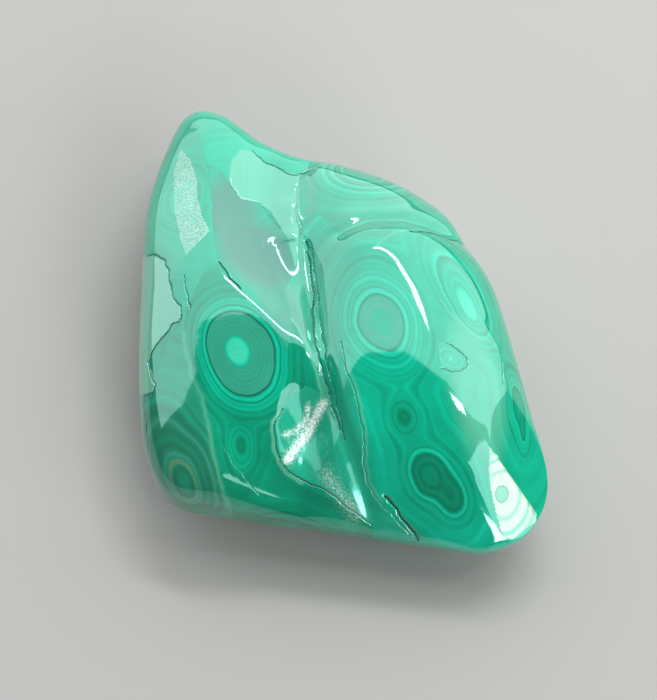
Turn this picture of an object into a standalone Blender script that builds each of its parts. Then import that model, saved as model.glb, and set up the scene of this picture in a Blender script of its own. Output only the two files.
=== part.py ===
# A polished free-form malachite, lying on its ground back.
#
# The stone is one solid. It starts as a sphere with an even grid of faces, and every point of that sphere is
# carried to the stone's surface: outwards to the girdle, the widest line round the stone, and up or down to
# its crown or its back. The crown is made of lobes with ground faces and softer bevels, with ridges, valleys
# and hollows worked into them, and two flat facets are ground across its tip.
# All sizes are in millimetres until the mesh is made. +X is the stone's right, +Y its pointed end, +Z is up.
import math

import bmesh
import bpy
import numpy as np

MM = 0.001

NODE_NAME = "malachite_stone"
COLLECTION_NAME = "malachite_specimen"

CELLS_PER_SIDE = 28  # faces along each side of the cube that becomes the sphere
FLATNESS = 1.6  # carries points from the thin edge to the crown and the back
CROWN_SHARE = 0.3  # carries more of them over the girdle, from the plain back to the crown

CROWN_SQUARENESS = 4.0  # 2 is an ellipse, and more gives a flatter crown with a tighter edge
BACK_SQUARENESS = 2.4
BACK_BELOW_FLAT = 1.3  # how far the back would reach below the ground flat, if it weren't ground

# The girdle, anticlockwise from the right: x, y and the height of the stone's widest line there.
GIRDLE = [
    (37.2, -2.0, 16.0),
    (33.7, 9.9, 16.5),
    (28.3, 18.8, 17.0),
    (23.6, 26.6, 17.0),
    (12.6, 34.8, 17.0),
    (0.0, 39.9, 17.0),
    (-9.4, 42.2, 17.0),
    (-19.0, 47.9, 16.0),
    (-28.4, 54.9, 15.0),
    (-35.4, 56.1, 15.0),
    (-39.7, 49.4, 15.5),
    (-44.6, 30.1, 16.0),
    (-45.0, 7.8, 16.0),
    (-44.6, -13.7, 15.5),
    (-42.4, -30.7, 15.0),
    (-36.7, -40.1, 14.5),
    (-24.1, -43.0, 14.0),
    (0.0, -46.6, 14.0),
    (20.8, -49.8, 14.0),
    (30.7, -51.0, 14.0),
    (40.2, -46.7, 14.5),
    (44.5, -36.2, 15.0),
    (41.6, -21.6, 15.5),
]

ROUNDING_SPAN = 10.0  # the length over which a soft face turns by its rounding

# The crown's lobes. A lobe is cut by faces, each through one point (x, y, z), falling by so many degrees
# towards +X and +Y there and rounded by so many degrees for every rounding span along X and Y. The ground
# faces meet in narrow crests, and the bevels round into them softly.
LOBES = {
    "left": {
        "eye face": {"at": (-22, -10, 33.5), "falls": (1, -9), "rounds": (4, 2.5)},
        "left side": {"at": (-34, -6, 34.0), "falls": (-27, -5), "rounds": (3, 3)},
        "top": {"at": (-30, 8, 34.2), "falls": (-4, 14), "rounds": (2, 0)},
        "hollow side": {"at": (-24.8, 6.9, 34.3), "falls": (24, 19), "rounds": (0, 0)},
        "lower end": {"at": (-24, -32, 30.0), "falls": (-3, -18), "rounds": (2, 4), "bevel": True},
        "bottom bevel": {"at": (-22, -37, 25.5), "falls": (-3, -38), "rounds": (1, 0), "bevel": True},
        "corner": {"at": (-36, -30, 26.5), "falls": (-22, -20), "rounds": (2, 2), "bevel": True},
    },
    "apex": {
        "left face": {"at": (-34, 28, 30.0), "falls": (-10, 6), "rounds": (3, 2)},
        "right face": {"at": (-28, 24, 30.0), "falls": (24, 4), "rounds": (0, 1)},
    },
    "right": {
        "eye face": {"at": (9, -8, 35.8), "falls": (0, -4.6), "rounds": (3, 1.5)},
        "upper slope": {"at": (6, 12, 36.7), "falls": (0, 22), "rounds": (1, 2)},
        "flank": {"at": (24, -10, 33.4), "falls": (17, -0.5), "rounds": (1, 1)},
        "flank eye face": {"at": (27, 3, 32.2), "falls": (22, 8), "rounds": (2, 3)},
        "outer side": {"at": (36, -18, 29.5), "falls": (42, 0), "rounds": (1, 1), "bevel": True},
        "lower face": {"at": (14, -32, 32.5), "falls": (2, -18), "rounds": (3, 4), "bevel": True},
        "bottom bevel": {"at": (18, -42, 25.5), "falls": (0, -38), "rounds": (1, 0), "bevel": True},
        "valley wall": {"at": (-1.5, -10, 33.0), "falls": (-42, -3), "rounds": (0, 2), "bevel": True},
        "upper valley wall": {"at": (-4.5, 12, 31.6), "falls": (-34, 9), "rounds": (0, 0), "bevel": True},
    },
    "upper right": {
        "top": {"at": (7, 29, 31.0), "falls": (3, 10), "rounds": (4, 5)},
        "fold side": {"at": (8, 22, 30.5), "falls": (0, -8), "rounds": (3, 3)},
        "valley side": {"at": (-4, 30, 30.0), "falls": (-20, 3), "rounds": (0, 0)},
    },
    "floor": {
        "hollow": {"at": (-13, 8, 28.2), "falls": (5, 0), "rounds": (0, 0)},
        "upper end": {"at": (-14, 17.5, 28.2), "falls": (5, 13), "rounds": (0, 0)},
        "lower end": {"at": (-5, -28, 26.0), "falls": (2, -20), "rounds": (1, 2), "bevel": True},
    },
}

# Flat facets ground on the finished crown, given as the lobes' faces are.
FACETS = {
    "tip": {"at": (35.7, -42.5, 20.5), "falls": (23.5, -31), "rounds": (0, 0)},
    "tip side": {"at": (31.1, -32.2, 28.5), "falls": (42, -10.5), "rounds": (0, 0)},
}

# Lines pressed into the crown or raised on it. The line fades out over its width to each side.
LINES = {
    "diagonal ridge": {
        "path": [(-28, 8), (-25, 7), (-21.3, 3.7), (-16.3, -2.8), (-12.2, -12), (-11.5, -19)],
        "width": 2.2,
        "rise": 0.2,
    },
    "apex ridge": {"path": [(-33, 46), (-30, 34), (-29, 24), (-28, 12)], "width": 2.4, "rise": 0.4},
    "left rib": {
        "path": [(-31, 2), (-32, -8), (-30, -19), (-28, -29), (-25, -38)],
        "width": 2.4,
        "rise": 0.08,
    },
    "right crest": {
        "path": [(2, 11), (8.5, 11), (12.5, 8), (16.5, 1), (19, -7), (22.5, -16), (25, -23), (27, -31)],
        "width": 2.2,
        "rise": 0.15,
    },
    "flank edge": {
        "path": [(24.5, -1), (34, -8), (36, -19.5), (38.5, -31), (41, -41)],
        "width": 2.0,
        "rise": 0.25,
    },
    "dent rim": {
        "path": [(-13, -21), (-14, -27), (-13.5, -33), (-9, -38), (-2, -42)],
        "width": 2.0,
        "rise": 0.5,
    },
    "main valley": {
        "path": [
            (-8, 38), (-8.5, 29), (-8.2, 20), (-7.3, 11), (-6.6, 3), (-5.6, -8), (-3.9, -16), (-0.7, -27.5),
            (3, -37), (6.5, -46),
        ],
        "width": 1.7,
        "rise": -1.0,
    },
    "low ridge": {"path": [(-12, 26), (-11, 14), (-10, 4), (-7.5, -6)], "width": 2.2, "rise": 0.5},
    "fold": {"path": [(0, 17), (6, 19.5), (13, 20), (20, 19), (28, 17.5)], "width": 2.0, "rise": -1.0},
    "hollow crease": {
        "path": [(-9, 18), (-17, 17.5), (-15.5, 12), (-13, 5), (-11.5, 0)],
        "width": 1.6,
        "rise": 0.35,
    },
}

# Shallow oval hollows in the crown: middle, half sizes along and across, turn in degrees, and depth.
HOLLOWS = {
    "upper hollow": {"at": (-20, 20), "sizes": (12, 6), "turn": 105, "depth": 0.3},
    "right hollow": {"at": (-12.5, 10), "sizes": (9, 5), "turn": 110, "depth": 0.8},
    "lower hollow": {"at": (-17, 4), "sizes": (10, 3.5), "turn": 130, "depth": 0.3},
    "dent": {"at": (-7.5, -27), "sizes": (8, 5), "turn": 100, "depth": 4.0},
    "between left eyes": {"at": (-24, -24), "sizes": (5, 9), "turn": 80, "depth": 0.1},
}

FACE_ROUNDING = 0.4  # of the crests where two ground faces of a lobe meet
BEVEL_ROUNDING = 1.3  # of the edges of a bevel
VALLEY_ROUNDING = 0.8  # of the lines where two lobes meet
FACET_ROUNDING = 0.15  # of the edges of a facet


def smooth_closed_curve(points, steps=24):
    """Catmull-Rom curve through the points and back to the first."""
    places = np.array(points, float)
    before, after = np.roll(places, 1, axis=0), np.roll(places, -1, axis=0)
    further = np.roll(places, -2, axis=0)
    share = np.linspace(0, 1, steps, endpoint=False)[None, :, None]
    a, b, c, d = (p[:, None, :] for p in (before, places, after, further))
    curve = 0.5 * (
        2 * b
        + (c - a) * share
        + (2 * a - 5 * b + 4 * c - d) * share**2
        + (3 * b - a - 3 * c + d) * share**3
    )
    return curve.reshape(-1, places.shape[1])


def girdle_at(angle):
    """Reach and height of the girdle in each direction from the stone's axis."""
    curve = smooth_closed_curve(GIRDLE)
    turn = np.arctan2(curve[:, 1], curve[:, 0])
    order = np.argsort(turn)
    reach = np.hypot(curve[:, 0], curve[:, 1])[order]
    return (
        np.interp(angle, turn[order], reach, period=2 * math.pi),
        np.interp(angle, turn[order], curve[order, 2], period=2 * math.pi),
    )


def soft_least(heights, rounding):
    """The lowest of several heights, with the change from one to the next rounded."""
    heights = np.array(heights)
    least = heights.min(axis=0)
    return least - rounding * np.log(np.exp((least - heights) / rounding).sum(axis=0))


def face_height(face, x, y):
    """Height of one soft face over each x, y."""
    total = np.full_like(x, face["at"][2])
    for offset, falls, rounds in zip((x - face["at"][0], y - face["at"][1]), face["falls"], face["rounds"]):
        total -= offset * math.tan(math.radians(falls))
        total -= offset**2 / (2 * ROUNDING_SPAN) * math.radians(rounds)
    return total


def distance_to_path(path, x, y):
    """Distance from each x, y to the nearest point of a path of straight pieces."""
    nearest = np.full_like(x, np.inf)
    for (from_x, from_y), (to_x, to_y) in zip(path, path[1:]):
        along_x, along_y = to_x - from_x, to_y - from_y
        share = ((x - from_x) * along_x + (y - from_y) * along_y) / (along_x**2 + along_y**2)
        share = np.clip(share, 0, 1)
        nearest = np.minimum(nearest, np.hypot(x - from_x - share * along_x, y - from_y - share * along_y))
    return nearest


def hollow_depth(hollow, x, y):
    """How deep one hollow is at each x, y."""
    turn = math.radians(hollow["turn"])
    away_x, away_y = x - hollow["at"][0], y - hollow["at"][1]
    along = (away_x * math.cos(turn) + away_y * math.sin(turn)) / hollow["sizes"][0]
    across = (away_y * math.cos(turn) - away_x * math.sin(turn)) / hollow["sizes"][1]
    return hollow["depth"] * np.exp(-(along**2 + across**2))


def lobe_height(lobe, x, y):
    """Height of one lobe over each x, y."""
    ground = [face_height(face, x, y) for face in lobe.values() if not face.get("bevel")]
    bevels = [face_height(face, x, y) for face in lobe.values() if face.get("bevel")]
    return soft_least([soft_least(ground, FACE_ROUNDING), *bevels], BEVEL_ROUNDING)


def crown_height(x, y):
    """Height of the crown over each x, y, before it rounds over to the girdle."""
    crown = -soft_least([-lobe_height(lobe, x, y) for lobe in LOBES.values()], VALLEY_ROUNDING)
    for line in LINES.values():
        crown += line["rise"] * np.exp(-((distance_to_path(line["path"], x, y) / line["width"]) ** 2))
    for hollow in HOLLOWS.values():
        crown -= hollow_depth(hollow, x, y)
    return crown


def dome_height(x, y, girdle_height, rise):
    """Height of the crown and its facets, drawn in towards the girdle as the rise goes from 1 down to 0."""
    dome = girdle_height + (crown_height(x, y) - girdle_height) * rise
    return soft_least([dome, *(face_height(facet, x, y) for facet in FACETS.values())], FACET_ROUNDING)


def stone_surface(directions):
    """Carries points of the unit sphere to the stone's surface."""
    upward_share = directions[:, 2] + CROWN_SHARE * (1 - directions[:, 2] ** 2)
    flattened = np.stack([directions[:, 0], directions[:, 1], FLATNESS * upward_share], axis=1)
    flattened /= np.linalg.norm(flattened, axis=1)[:, None]
    outwards = np.hypot(flattened[:, 0], flattened[:, 1])
    upwards = np.abs(flattened[:, 2])
    above = flattened[:, 2] > 0
    squareness = np.where(above, CROWN_SQUARENESS, BACK_SQUARENESS)
    stretch = (outwards**squareness + upwards**squareness) ** (-1 / squareness)
    outwards, upwards = outwards * stretch, upwards * stretch

    angle = np.arctan2(flattened[:, 1], flattened[:, 0])
    reach, girdle_height = girdle_at(angle)
    x = outwards * reach * np.cos(angle)
    y = outwards * reach * np.sin(angle)
    top = dome_height(x, y, girdle_height, upwards)
    back = girdle_height - (girdle_height + BACK_BELOW_FLAT) * upwards
    return np.stack([x, y, np.where(above, top, np.maximum(back, 0))], axis=1)


def even_sphere():
    """A unit sphere made from a cube whose sides are cut into even squares."""
    mesh = bmesh.new()
    bmesh.ops.create_cube(mesh, size=2)
    bmesh.ops.subdivide_edges(mesh, edges=mesh.edges[:], cuts=CELLS_PER_SIDE - 1, use_grid_fill=True)
    for vertex in mesh.verts:
        for axis in range(3):
            vertex.co[axis] = math.tan(vertex.co[axis] * math.pi / 4)
        vertex.co.normalize()
    return mesh


def centred(points):
    """The points with the middle of their box over the origin, standing on z = 0."""
    low, high = points.min(axis=0), points.max(axis=0)
    return points - [(low[0] + high[0]) / 2, (low[1] + high[1]) / 2, low[2]]


def malachite_material():
    material = bpy.data.materials.new("polished malachite")
    material.use_nodes = True
    surface = material.node_tree.nodes["Principled BSDF"]
    surface.inputs["Base Color"].default_value = (0.02, 0.36, 0.22, 1)
    surface.inputs["Roughness"].default_value = 0.12
    surface.inputs["Metallic"].default_value = 0
    return material


def make_stone(collection):
    mesh = even_sphere()
    directions = np.array([vertex.co for vertex in mesh.verts])
    for vertex, place in zip(mesh.verts, centred(stone_surface(directions))):
        vertex.co = place * MM
    data = bpy.data.meshes.new(NODE_NAME)
    mesh.to_mesh(data)
    mesh.free()
    data.shade_smooth()
    data.materials.append(malachite_material())
    stone = bpy.data.objects.new(NODE_NAME, data)
    collection.objects.link(stone)
    return stone


def main():
    for old in list(bpy.data.objects):
        bpy.data.objects.remove(old)
    collection = bpy.data.collections.new(COLLECTION_NAME)
    bpy.context.scene.collection.children.link(collection)
    make_stone(collection)


main()
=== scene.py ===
import math

import bmesh
import bpy
import numpy as np
from mathutils import Matrix, Vector, noise
from mathutils.bvhtree import BVHTree


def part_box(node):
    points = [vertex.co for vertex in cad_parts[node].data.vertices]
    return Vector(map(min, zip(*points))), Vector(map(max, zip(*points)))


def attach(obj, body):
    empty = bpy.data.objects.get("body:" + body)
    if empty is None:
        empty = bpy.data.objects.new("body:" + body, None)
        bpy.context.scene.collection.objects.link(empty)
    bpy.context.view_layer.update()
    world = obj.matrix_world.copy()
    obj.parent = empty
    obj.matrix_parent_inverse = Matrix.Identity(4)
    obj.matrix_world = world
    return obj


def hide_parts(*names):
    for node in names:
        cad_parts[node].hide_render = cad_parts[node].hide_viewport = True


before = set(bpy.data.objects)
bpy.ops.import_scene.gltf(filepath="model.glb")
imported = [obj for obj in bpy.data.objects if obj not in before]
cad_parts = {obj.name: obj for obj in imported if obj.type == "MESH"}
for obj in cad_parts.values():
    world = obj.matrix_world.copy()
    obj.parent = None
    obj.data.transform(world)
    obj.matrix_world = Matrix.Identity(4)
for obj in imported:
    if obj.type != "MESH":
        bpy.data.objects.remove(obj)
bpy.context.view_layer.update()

mm = 0.001
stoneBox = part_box("malachite_stone")
scene = bpy.context.scene
noise.seed_set(5)  # its vectors follow the clock otherwise

# The photograph's view: from in front, 66 degrees up, about an arm's length away.
view = {
    "elevation": 66.0,
    "distance": 360.0,  # mm
    "lookAt": (-2.6, -6.7, 15.0),  # mm
    "focalLength": 82.39,  # on a sensor of 36 mm along the picture's long side
    "sensor": 36.0,
    "frame": (657, 700),  # pixels
    "besideHeight": 12.0,  # mm, for places seen beside the stone
}

# The stone's form, as in the solid: sizes in mm, +X right, +Y to the pointed end, +Z up.
form = {
    "cellsPerSide": 70,  # faces along each side of the cube that becomes the sphere
    "flatness": 1.6,
    "crownShare": 0.3,
    "crownSquareness": 4.0,
    "backSquareness": 2.4,
    "backBelowFlat": 1.3,
    "faceRounding": 0.4,
    "bevelRounding": 1.3,
    "facetRounding": 0.15,
    "valleyRounding": 0.8,
    "roundingSpan": 10.0,
}

# The widest line round the stone, anticlockwise from the right: x, y and its height.
girdle = [
    (37.2, -2.0, 16.0),
    (33.7, 9.9, 16.5),
    (28.3, 18.8, 17.0),
    (23.6, 26.6, 17.0),
    (12.6, 34.8, 17.0),
    (0.0, 39.9, 17.0),
    (-9.4, 42.2, 17.0),
    (-19.0, 47.9, 16.0),
    (-28.4, 54.9, 15.0),
    (-35.4, 56.1, 15.0),
    (-39.7, 49.4, 15.5),
    (-44.6, 30.1, 16.0),
    (-45.0, 7.8, 16.0),
    (-44.6, -13.7, 15.5),
    (-42.4, -30.7, 15.0),
    (-36.7, -40.1, 14.5),
    (-24.1, -43.0, 14.0),
    (0.0, -46.6, 14.0),
    (20.8, -49.8, 14.0),
    (30.7, -51.0, 14.0),
    (40.2, -46.7, 14.5),
    (44.5, -36.2, 15.0),
    (41.6, -21.6, 15.5),
]

# Lobes cut by faces: a point on each, the degrees it falls towards +X and +Y, and how it rounds. The ground
# faces meet in narrow crests, and the bevels round into them softly.
lobes = {
    "left": {
        "eye face": {"at": (-22, -10, 33.5), "falls": (1, -9), "rounds": (4, 2.5)},
        "left side": {"at": (-34, -6, 34.0), "falls": (-27, -5), "rounds": (3, 3)},
        "top": {"at": (-30, 8, 34.2), "falls": (-4, 14), "rounds": (2, 0)},
        "hollow side": {"at": (-24.8, 6.9, 34.3), "falls": (24, 19), "rounds": (0, 0)},
        "lower end": {"at": (-24, -32, 30.0), "falls": (-3, -18), "rounds": (2, 4), "bevel": True},
        "bottom bevel": {"at": (-22, -37, 25.5), "falls": (-3, -38), "rounds": (1, 0), "bevel": True},
        "corner": {"at": (-36, -30, 26.5), "falls": (-22, -20), "rounds": (2, 2), "bevel": True},
    },
    "apex": {
        "left face": {"at": (-34, 28, 30.0), "falls": (-10, 6), "rounds": (3, 2)},
        "right face": {"at": (-28, 24, 30.0), "falls": (24, 4), "rounds": (0, 1)},
    },
    "right": {
        "eye face": {"at": (9, -8, 35.8), "falls": (0, -4.6), "rounds": (3, 1.5)},
        "upper slope": {"at": (6, 12, 36.7), "falls": (0, 22), "rounds": (1, 2)},
        "flank": {"at": (24, -10, 33.4), "falls": (17, -0.5), "rounds": (1, 1)},
        "flank eye face": {"at": (27, 3, 32.2), "falls": (22, 8), "rounds": (2, 3)},
        "outer side": {"at": (36, -18, 29.5), "falls": (42, 0), "rounds": (1, 1), "bevel": True},
        "lower face": {"at": (14, -32, 32.5), "falls": (2, -18), "rounds": (3, 4), "bevel": True},
        "bottom bevel": {"at": (18, -42, 25.5), "falls": (0, -38), "rounds": (1, 0), "bevel": True},
        "valley wall": {"at": (-1.5, -10, 33.0), "falls": (-42, -3), "rounds": (0, 2), "bevel": True},
        "upper valley wall": {"at": (-4.5, 12, 31.6), "falls": (-34, 9), "rounds": (0, 0), "bevel": True},
    },
    "upper right": {
        "top": {"at": (7, 29, 31.0), "falls": (3, 10), "rounds": (4, 5)},
        "fold side": {"at": (8, 22, 30.5), "falls": (0, -8), "rounds": (3, 3)},
        "valley side": {"at": (-4, 30, 30.0), "falls": (-20, 3), "rounds": (0, 0)},
    },
    "floor": {
        "hollow": {"at": (-13, 8, 28.2), "falls": (5, 0), "rounds": (0, 0)},
        "upper end": {"at": (-14, 17.5, 28.2), "falls": (5, 13), "rounds": (0, 0)},
        "lower end": {"at": (-5, -28, 26.0), "falls": (2, -20), "rounds": (1, 2), "bevel": True},
    },
}

# Flat facets ground on the finished crown.
facets = {
    "tip": {"at": (35.7, -42.5, 20.5), "falls": (23.5, -31), "rounds": (0, 0)},
    "tip side": {"at": (31.1, -32.2, 28.5), "falls": (42, -10.5), "rounds": (0, 0)},
}

# Ridges and valleys worked into the crown, fading over their width to each side.
worked = {
    "diagonal ridge": {
        "path": [(-28, 8), (-25, 7), (-21.3, 3.7), (-16.3, -2.8), (-12.2, -12), (-11.5, -19)],
        "width": 2.2,
        "rise": 0.2,
    },
    "apex ridge": {"path": [(-33, 46), (-30, 34), (-29, 24), (-28, 12)], "width": 2.4, "rise": 0.4},
    "left rib": {
        "path": [(-31, 2), (-32, -8), (-30, -19), (-28, -29), (-25, -38)],
        "width": 2.4,
        "rise": 0.08,
    },
    "right crest": {
        "path": [(2, 11), (8.5, 11), (12.5, 8), (16.5, 1), (19, -7), (22.5, -16), (25, -23), (27, -31)],
        "width": 2.2,
        "rise": 0.15,
    },
    "flank edge": {
        "path": [(24.5, -1), (34, -8), (36, -19.5), (38.5, -31), (41, -41)],
        "width": 2.0,
        "rise": 0.25,
    },
    "dent rim": {
        "path": [(-13, -21), (-14, -27), (-13.5, -33), (-9, -38), (-2, -42)],
        "width": 2.0,
        "rise": 0.5,
    },
    "main valley": {
        "path": [
            (-8, 38), (-8.5, 29), (-8.2, 20), (-7.3, 11), (-6.6, 3), (-5.6, -8), (-3.9, -16), (-0.7, -27.5),
            (3, -37), (6.5, -46),
        ],
        "width": 1.7,
        "rise": -1.0,
    },
    "low ridge": {"path": [(-12, 26), (-11, 14), (-10, 4), (-7.5, -6)], "width": 2.2, "rise": 0.5},
    "fold": {"path": [(0, 17), (6, 19.5), (13, 20), (20, 19), (28, 17.5)], "width": 2.0, "rise": -1.0},
    "hollow crease": {
        "path": [(-9, 18), (-17, 17.5), (-15.5, 12), (-13, 5), (-11.5, 0)],
        "width": 1.6,
        "rise": 0.35,
    },
}

# Shallow oval hollows: middle, half sizes along and across, turn in degrees, and depth.
hollows = {
    "upper hollow": {"at": (-20, 20), "sizes": (12, 6), "turn": 105, "depth": 0.3},
    "right hollow": {"at": (-12.5, 10), "sizes": (9, 5), "turn": 110, "depth": 0.8},
    "lower hollow": {"at": (-17, 4), "sizes": (10, 3.5), "turn": 130, "depth": 0.3},
    "dent": {"at": (-7.5, -27), "sizes": (8, 5), "turn": 100, "depth": 4.0},
    "between left eyes": {"at": (-24, -24), "sizes": (5, 9), "turn": 80, "depth": 0.1},
}


# camera

def makeCamera():
    tilt = math.radians(view["elevation"])
    back = Vector((0, -math.cos(tilt), math.sin(tilt)))
    upwards = Vector((0, math.sin(tilt), math.cos(tilt)))
    turned = Matrix((Vector((1, 0, 0)), upwards, back)).transposed().to_4x4()
    turned.translation = (Vector(view["lookAt"]) + back * view["distance"]) * mm
    data = bpy.data.cameras.new("photoView")
    data.lens = view["focalLength"]
    data.sensor_width = view["sensor"]
    data.clip_start = 0.01
    camera = bpy.data.objects.new("photoView", data)
    camera.matrix_world = turned
    scene.collection.objects.link(camera)
    scene.camera = camera
    return camera


camera = makeCamera()
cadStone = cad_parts["malachite_stone"]
cadSurface = BVHTree.FromPolygons(
    [v.co for v in cadStone.data.vertices], [p.vertices[:] for p in cadStone.data.polygons]
)
print("camera set")


def placeSeen(pixel):
    # The point of the stone seen at a pixel of the photograph, in mm, or one beside the stone.
    perPixel = view["sensor"] / view["focalLength"] / view["frame"][1]
    across = (pixel[0] - view["frame"][0] / 2) * perPixel
    down = (pixel[1] - view["frame"][1] / 2) * perPixel
    start = camera.matrix_world.translation
    ray = (camera.matrix_world.to_3x3() @ Vector((across, -down, -1))).normalized()
    hit = cadSurface.ray_cast(start, ray)[0]
    if hit is None:
        hit = start + ray * ((view["besideHeight"] * mm - start.z) / ray.z)
    return np.array(hit) / mm


# form

def smoothClosedCurve(points, steps=24):
    places = np.array(points, float)
    before, after = np.roll(places, 1, axis=0), np.roll(places, -1, axis=0)
    further = np.roll(places, -2, axis=0)
    share = np.linspace(0, 1, steps, endpoint=False)[None, :, None]
    a, b, c, d = (p[:, None, :] for p in (before, places, after, further))
    curve = 0.5 * (
        2 * b + (c - a) * share + (2 * a - 5 * b + 4 * c - d) * share**2 + (3 * b - a - 3 * c + d) * share**3
    )
    return curve.reshape(-1, places.shape[1])


def girdleAt(angle):
    curve = smoothClosedCurve(girdle)
    turn = np.arctan2(curve[:, 1], curve[:, 0])
    order = np.argsort(turn)
    reach = np.hypot(curve[:, 0], curve[:, 1])[order]
    return (
        np.interp(angle, turn[order], reach, period=2 * math.pi),
        np.interp(angle, turn[order], curve[order, 2], period=2 * math.pi),
    )


def softLeast(heights, rounding):
    heights = np.array(heights)
    least = heights.min(axis=0)
    return least - rounding * np.log(np.exp((least - heights) / rounding).sum(axis=0))


def faceHeight(face, x, y):
    total = np.full_like(x, face["at"][2])
    for offset, falls, rounds in zip((x - face["at"][0], y - face["at"][1]), face["falls"], face["rounds"]):
        total -= offset * math.tan(math.radians(falls))
        total -= offset**2 / (2 * form["roundingSpan"]) * math.radians(rounds)
    return total


def distanceToPath(path, x, y):
    nearest = np.full_like(x, np.inf)
    for (fromX, fromY), (toX, toY) in zip(path, path[1:]):
        alongX, alongY = toX - fromX, toY - fromY
        share = ((x - fromX) * alongX + (y - fromY) * alongY) / (alongX**2 + alongY**2)
        share = np.clip(share, 0, 1)
        nearest = np.minimum(nearest, np.hypot(x - fromX - share * alongX, y - fromY - share * alongY))
    return nearest


def ovalShare(x, y, at, sizes, turn):
    # 0 at the middle of a turned oval and 1 on its outline
    turn = math.radians(turn)
    awayX, awayY = x - at[0], y - at[1]
    along = (awayX * math.cos(turn) + awayY * math.sin(turn)) / sizes[0]
    across = (awayY * math.cos(turn) - awayX * math.sin(turn)) / sizes[1]
    return np.hypot(along, across)


def lobeHeight(lobe, x, y):
    ground = [faceHeight(face, x, y) for face in lobe.values() if not face.get("bevel")]
    bevels = [faceHeight(face, x, y) for face in lobe.values() if face.get("bevel")]
    return softLeast([softLeast(ground, form["faceRounding"]), *bevels], form["bevelRounding"])


def crownHeight(x, y):
    crown = -softLeast([-lobeHeight(lobe, x, y) for lobe in lobes.values()], form["valleyRounding"])
    for line in worked.values():
        crown += line["rise"] * np.exp(-((distanceToPath(line["path"], x, y) / line["width"]) ** 2))
    for hollow in hollows.values():
        share = ovalShare(x, y, hollow["at"], hollow["sizes"], hollow["turn"])
        crown -= hollow["depth"] * np.exp(-(share**2))
    return crown


def domeHeight(x, y, girdleHeight, rise):
    # the crown drawn in towards the girdle, where "rise" runs from 1 down to 0, and its facets
    dome = girdleHeight + (crownHeight(x, y) - girdleHeight) * rise
    return softLeast([dome, *(faceHeight(facet, x, y) for facet in facets.values())], form["facetRounding"])


def stoneSurface(directions):
    upwardShare = directions[:, 2] + form["crownShare"] * (1 - directions[:, 2] ** 2)
    flattened = np.stack([directions[:, 0], directions[:, 1], form["flatness"] * upwardShare], axis=1)
    flattened /= np.linalg.norm(flattened, axis=1)[:, None]
    outwards = np.hypot(flattened[:, 0], flattened[:, 1])
    upwards = np.abs(flattened[:, 2])
    above = flattened[:, 2] > 0
    squareness = np.where(above, form["crownSquareness"], form["backSquareness"])
    stretch = (outwards**squareness + upwards**squareness) ** (-1 / squareness)
    outwards, upwards = outwards * stretch, upwards * stretch
    angle = np.arctan2(flattened[:, 1], flattened[:, 0])
    reach, girdleHeight = girdleAt(angle)
    x = outwards * reach * np.cos(angle)
    y = outwards * reach * np.sin(angle)
    top = domeHeight(x, y, girdleHeight, upwards)
    back = girdleHeight - (girdleHeight + form["backBelowFlat"]) * upwards
    return np.stack([x, y, np.where(above, top, np.maximum(back, 0))], axis=1)


def evenSphere():
    mesh = bmesh.new()
    bmesh.ops.create_cube(mesh, size=2)
    bmesh.ops.subdivide_edges(mesh, edges=mesh.edges[:], cuts=form["cellsPerSide"] - 1, use_grid_fill=True)
    places = np.array([v.co for v in mesh.verts])
    places = np.tan(places * math.pi / 4)
    places /= np.linalg.norm(places, axis=1)[:, None]
    for vertex, place in zip(mesh.verts, places):
        vertex.co = place
    return mesh


def fitOf(points):
    # scale and shift to the solid's own box, which a coarser grid has left a fraction of a millimetre smaller
    low, high = points.min(axis=0), points.max(axis=0)
    solidLow, solidHigh = np.array(stoneBox[0]) / mm, np.array(stoneBox[1]) / mm
    scale = (solidHigh - solidLow) / (high - low)
    return scale, solidLow - low * scale


print("form ready")


# pattern, read from the photograph: places are pixels, and sizes are mm

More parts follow.
